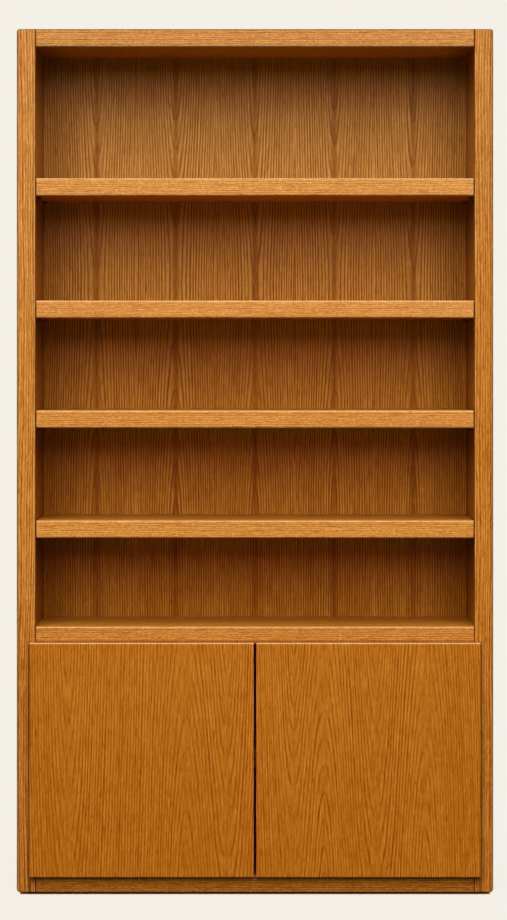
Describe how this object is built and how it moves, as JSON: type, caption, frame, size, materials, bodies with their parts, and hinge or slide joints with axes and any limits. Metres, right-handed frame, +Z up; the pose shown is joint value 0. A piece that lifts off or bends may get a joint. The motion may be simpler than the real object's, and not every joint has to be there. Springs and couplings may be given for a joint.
{
  "type": "bookcase with cabinet doors",
  "caption": "Tall golden oak bookcase with open adjustable shelves over a low cabinet closed by a pair of plain slab doors on concealed hinges.",
  "frame": {"origin": "on the floor, in the middle of the closed piece's width and depth", "axes": "+Z up, +X to the right seen from the front, -Y out of the front"},
  "size_m": [0.99, 0.327, 1.797],
  "materials": {
    "oak_board": "golden oak veneer, satin lacquer",
    "oak_lipping": "solid golden oak strip, satin lacquer",
    "oak_door": "crown-cut golden oak veneer, satin lacquer",
    "oak_back": "rotary-cut golden oak veneered back, satin",
    "beech": "plain fluted dowel wood",
    "brown_plastic": "dark brown moulded",
    "white_plastic": "off-white moulded",
    "zinc_steel": "zinc or nickel plated"
  },
  "bodies": {
    "case": {"left_side_panel": "oak_board", "right_side_panel": "oak_board", "left_side_lipping": "oak_lipping", "right_side_lipping": "oak_lipping", "top_panel": "oak_board", "top_lipping": "oak_lipping", "cabinet_deck": "oak_board", "deck_lipping": "oak_lipping", "bottom_panel": "oak_board", "bottom_lipping": "oak_lipping", "back_panel": "oak_back", "back_screws": "zinc_steel", "shelf_pins": "brown_plastic", "joint_dowels": "beech", "cam_bolts": "zinc_steel", "cam_discs": "zinc_steel", "floor_glides": "brown_plastic", "glide_nails": "zinc_steel", "left_hinge_arms": "zinc_steel", "right_hinge_arms": "zinc_steel", "left_hinge_plates": "zinc_steel", "right_hinge_plates": "zinc_steel", "hinge_plate_screws": "zinc_steel", "hinge_arm_screws": "zinc_steel", "left_latch_housing": "white_plastic", "right_latch_housing": "white_plastic", "left_latch_spring": "zinc_steel", "right_latch_spring": "zinc_steel", "latch_screws": "zinc_steel"},
    "left_door": {"left_door_panel": "oak_door", "left_door_edging": "oak_door", "left_hinge_cups": "zinc_steel", "left_hinge_pins": "zinc_steel", "left_cup_screws": "zinc_steel", "left_strike_plate": "zinc_steel", "left_strike_screws": "zinc_steel"},
    "right_door": {"right_door_panel": "oak_door", "right_door_edging": "oak_door", "right_hinge_cups": "zinc_steel", "right_hinge_pins": "zinc_steel", "right_cup_screws": "zinc_steel", "right_strike_plate": "zinc_steel", "right_strike_screws": "zinc_steel"},
    "left_plunger": {"left_latch_plunger": "white_plastic"},
    "right_plunger": {"right_latch_plunger": "white_plastic"},
    "shelf_1": {"shelf_1": "oak_board", "shelf_1_lipping": "oak_lipping"},
    "shelf_2": {"shelf_2": "oak_board", "shelf_2_lipping": "oak_lipping"},
    "shelf_3": {"shelf_3": "oak_board", "shelf_3_lipping": "oak_lipping"},
    "shelf_4": {"shelf_4": "oak_board", "shelf_4_lipping": "oak_lipping"},
    "cabinet_shelf": {"cabinet_shelf": "oak_board", "cabinet_shelf_lipping": "oak_lipping"}
  },
  "joints": [
    {"name": "left_door_swing", "type": "hinge", "parent": "case", "child": "left_door", "pos_m": [-0.46, -0.154, 0.28], "axis": [0, 0, -1], "range_deg": [0, 105]},
    {"name": "right_door_swing", "type": "hinge", "parent": "case", "child": "right_door", "pos_m": [0.46, -0.154, 0.28], "axis": [0, 0, 1], "range_deg": [0, 105]},
    {"name": "left_latch_push", "type": "slide", "parent": "case", "child": "left_plunger", "axis": [0, 1, 0], "range_m": [0, 0.0025], "stiffness_N_per_m": 150, "springref_m": -0.004},
    {"name": "right_latch_push", "type": "slide", "parent": "case", "child": "right_plunger", "axis": [0, 1, 0], "range_m": [0, 0.0025], "stiffness_N_per_m": 150, "springref_m": -0.004},
    {"name": "shelf_1_lift", "type": "slide", "parent": "case", "child": "shelf_1", "axis": [0, 0, 1], "range_m": [0, 0.0254]},
    {"name": "shelf_2_lift", "type": "slide", "parent": "case", "child": "shelf_2", "axis": [0, 0, 1], "range_m": [0, 0.0254]},
    {"name": "shelf_3_lift", "type": "slide", "parent": "case", "child": "shelf_3", "axis": [0, 0, 1], "range_m": [0, 0.0254]},
    {"name": "shelf_4_lift", "type": "slide", "parent": "case", "child": "shelf_4", "axis": [0, 0, 1], "range_m": [0, 0.0254]},
    {"name": "cabinet_shelf_lift", "type": "slide", "parent": "case", "child": "cabinet_shelf", "axis": [0, 0, 1], "range_m": [0, 0.0254]}
  ]
}
